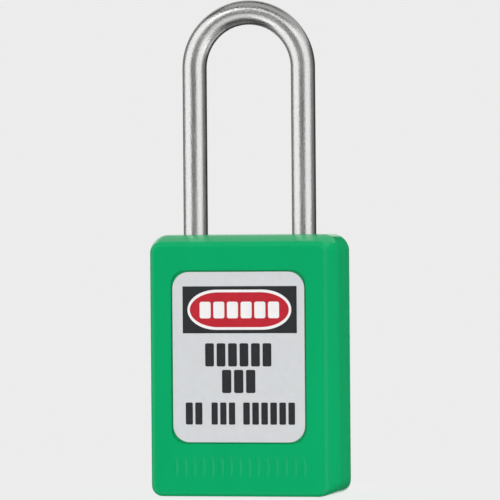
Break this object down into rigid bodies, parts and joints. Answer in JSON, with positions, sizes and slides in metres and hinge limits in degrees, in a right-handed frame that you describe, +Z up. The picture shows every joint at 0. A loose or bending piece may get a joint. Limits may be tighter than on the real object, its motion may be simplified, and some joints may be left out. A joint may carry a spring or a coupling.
{
  "type": "safety padlock",
  "caption": "Lockout safety padlock with a green moulded body, a labelled front, a long round steel shackle and a working pin-tumbler cylinder inside.",
  "frame": {"origin": "centre of the flat bottom face of the body", "axes": "+X towards the heel (long) leg of the shackle, -Y out of the labelled front, +Z up along the shackle"},
  "size_m": [0.035, 0.019, 0.09],
  "materials": {
    "body_plastic": "semi-gloss moulded green plastic",
    "cover_plastic": "fine matt black moulded plastic",
    "front_label_face": "printed satin silver-grey label",
    "rear_label_face": "matt white write-on label",
    "shackle_steel": "satin stainless rod, drawn lengthwise",
    "spring_steel": "hard-drawn spring wire and strip",
    "latch_metal": "ground nickel silver",
    "casting": "fine die-cast zinc",
    "plug_brass": "turned brass"
  },
  "bodies": {
    "case": {"body_shell": "body_plastic", "bottom_cover": "cover_plastic", "front_label": "front_label_face", "rear_label": "rear_label_face", "cylinder_housing": "casting", "chamber_cap": "plug_brass", "latch_housing": "casting", "latch_cover_plate": "casting", "heel_retaining_clip": "spring_steel", "shackle_spring": "spring_steel", "pin_spring_1": "spring_steel", "pin_spring_2": "spring_steel", "pin_spring_3": "spring_steel", "pin_spring_4": "spring_steel", "pin_spring_5": "spring_steel", "pin_spring_6": "spring_steel"},
    "plug": {"plug": "plug_brass", "tailpiece": "casting", "plug_retaining_clip": "spring_steel"},
    "toe_latch": {"toe_latch": "latch_metal"},
    "heel_latch": {"heel_latch": "latch_metal"},
    "shackle": {"shackle": "shackle_steel"},
    "key_pin_1": {"key_pin_1": "plug_brass"},
    "driver_pin_1": {"driver_pin_1": "latch_metal"},
    "key_pin_2": {"key_pin_2": "plug_brass"},
    "driver_pin_2": {"driver_pin_2": "latch_metal"},
    "key_pin_3": {"key_pin_3": "plug_brass"},
    "driver_pin_3": {"driver_pin_3": "latch_metal"},
    "key_pin_4": {"key_pin_4": "plug_brass"},
    "driver_pin_4": {"driver_pin_4": "latch_metal"},
    "key_pin_5": {"key_pin_5": "plug_brass"},
    "driver_pin_5": {"driver_pin_5": "latch_metal"},
    "key_pin_6": {"key_pin_6": "plug_brass"},
    "driver_pin_6": {"driver_pin_6": "latch_metal"}
  },
  "joints": [
    {"name": "shackle_lift", "type": "slide", "parent": "case", "child": "shackle", "axis": [0, 0, 1], "range_m": [0, 0.0096], "deforming": ["shackle_spring"]},
    {"name": "plug_turn", "type": "hinge", "parent": "case", "child": "plug", "pos_m": [0, 0, 0.0005], "axis": [0, 0, 1], "range_deg": [0, 90]},
    {"name": "toe_latch_slide", "type": "slide", "parent": "case", "child": "toe_latch", "axis": [1, 0, 0], "range_m": [0, 0.00425]},
    {"name": "heel_latch_slide", "type": "slide", "parent": "case", "child": "heel_latch", "axis": [-1, 0, 0], "range_m": [0, 0.00425]},
    {"name": "key_pin_1_slide", "type": "slide", "parent": "plug", "child": "key_pin_1", "axis": [-1, 0, 0], "range_m": [-0.0016, 0]},
    {"name": "driver_pin_1_slide", "type": "slide", "parent": "case", "child": "driver_pin_1", "axis": [-1, 0, 0], "range_m": [-0.0016, 0], "deforming": ["pin_spring_1"]},
    {"name": "key_pin_2_slide", "type": "slide", "parent": "plug", "child": "key_pin_2", "axis": [-1, 0, 0], "range_m": [-0.001, 0]},
    {"name": "driver_pin_2_slide", "type": "slide", "parent": "case", "child": "driver_pin_2", "axis": [-1, 0, 0], "range_m": [-0.001, 0], "deforming": ["pin_spring_2"]},
    {"name": "key_pin_3_slide", "type": "slide", "parent": "plug", "child": "key_pin_3", "axis": [-1, 0, 0], "range_m": [-0.0014, 0]},
    {"name": "driver_pin_3_slide", "type": "slide", "parent": "case", "child": "driver_pin_3", "axis": [-1, 0, 0], "range_m": [-0.0014, 0], "deforming": ["pin_spring_3"]},
    {"name": "key_pin_4_slide", "type": "slide", "parent": "plug", "child": "key_pin_4", "axis": [-1, 0, 0], "range_m": [-0.0007, 0]},
    {"name": "driver_pin_4_slide", "type": "slide", "parent": "case", "child": "driver_pin_4", "axis": [-1, 0, 0], "range_m": [-0.0007, 0], "deforming": ["pin_spring_4"]},
    {"name": "key_pin_5_slide", "type": "slide", "parent": "plug", "child": "key_pin_5", "axis": [-1, 0, 0], "range_m": [-0.0012, 0]},
    {"name": "driver_pin_5_slide", "type": "slide", "parent": "case", "child": "driver_pin_5", "axis": [-1, 0, 0], "range_m": [-0.0012, 0], "deforming": ["pin_spring_5"]},
    {"name": "key_pin_6_slide", "type": "slide", "parent": "plug", "child": "key_pin_6", "axis": [-1, 0, 0], "range_m": [-0.0018, 0]},
    {"name": "driver_pin_6_slide", "type": "slide", "parent": "case", "child": "driver_pin_6", "axis": [-1, 0, 0], "range_m": [-0.0018, 0], "deforming": ["pin_spring_6"]}
  ],
  "couplings": [
    {"joint": "plug_turn", "follows": "shackle_lift", "rad_per_m": 163.62},
    {"joint": "toe_latch_slide", "follows": "shackle_lift", "ratio": 0.44194},
    {"joint": "heel_latch_slide", "follows": "shackle_lift", "ratio": 0.44194},
    {"joint": "driver_pin_1_slide", "follows": "key_pin_1_slide", "ratio": 1},
    {"joint": "driver_pin_2_slide", "follows": "key_pin_2_slide", "ratio": 1},
    {"joint": "driver_pin_3_slide", "follows": "key_pin_3_slide", "ratio": 1},
    {"joint": "driver_pin_4_slide", "follows": "key_pin_4_slide", "ratio": 1},
    {"joint": "driver_pin_5_slide", "follows": "key_pin_5_slide", "ratio": 1},
    {"joint": "driver_pin_6_slide", "follows": "key_pin_6_slide", "ratio": 1}
  ]
}
